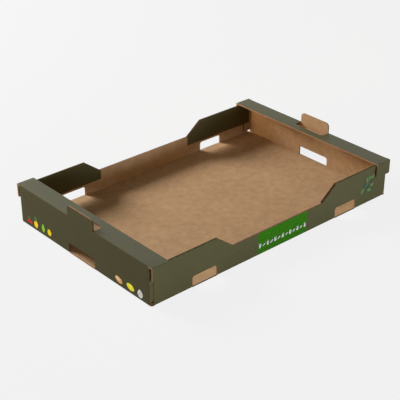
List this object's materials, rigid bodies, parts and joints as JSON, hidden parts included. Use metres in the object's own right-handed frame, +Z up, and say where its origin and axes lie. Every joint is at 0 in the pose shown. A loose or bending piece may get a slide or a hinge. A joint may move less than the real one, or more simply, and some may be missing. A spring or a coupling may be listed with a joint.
{
  "type": "cardboard tray box",
  "caption": "Low open stacking tray folded from one sheet of corrugated board, with dipped long sides, end ledges with ears, stacking tabs and cut-outs along the bottom.",
  "frame": {"origin": "centre of the underside", "axes": "+X along the long sides, +Y across the tray to the back, +Z up"},
  "size_m": [0.6, 0.4008, 0.099],
  "materials": {
    "board": "matte"
  },
  "bodies": {
    "root": {"folded_tray": "board"}
  },
  "joints": []
}
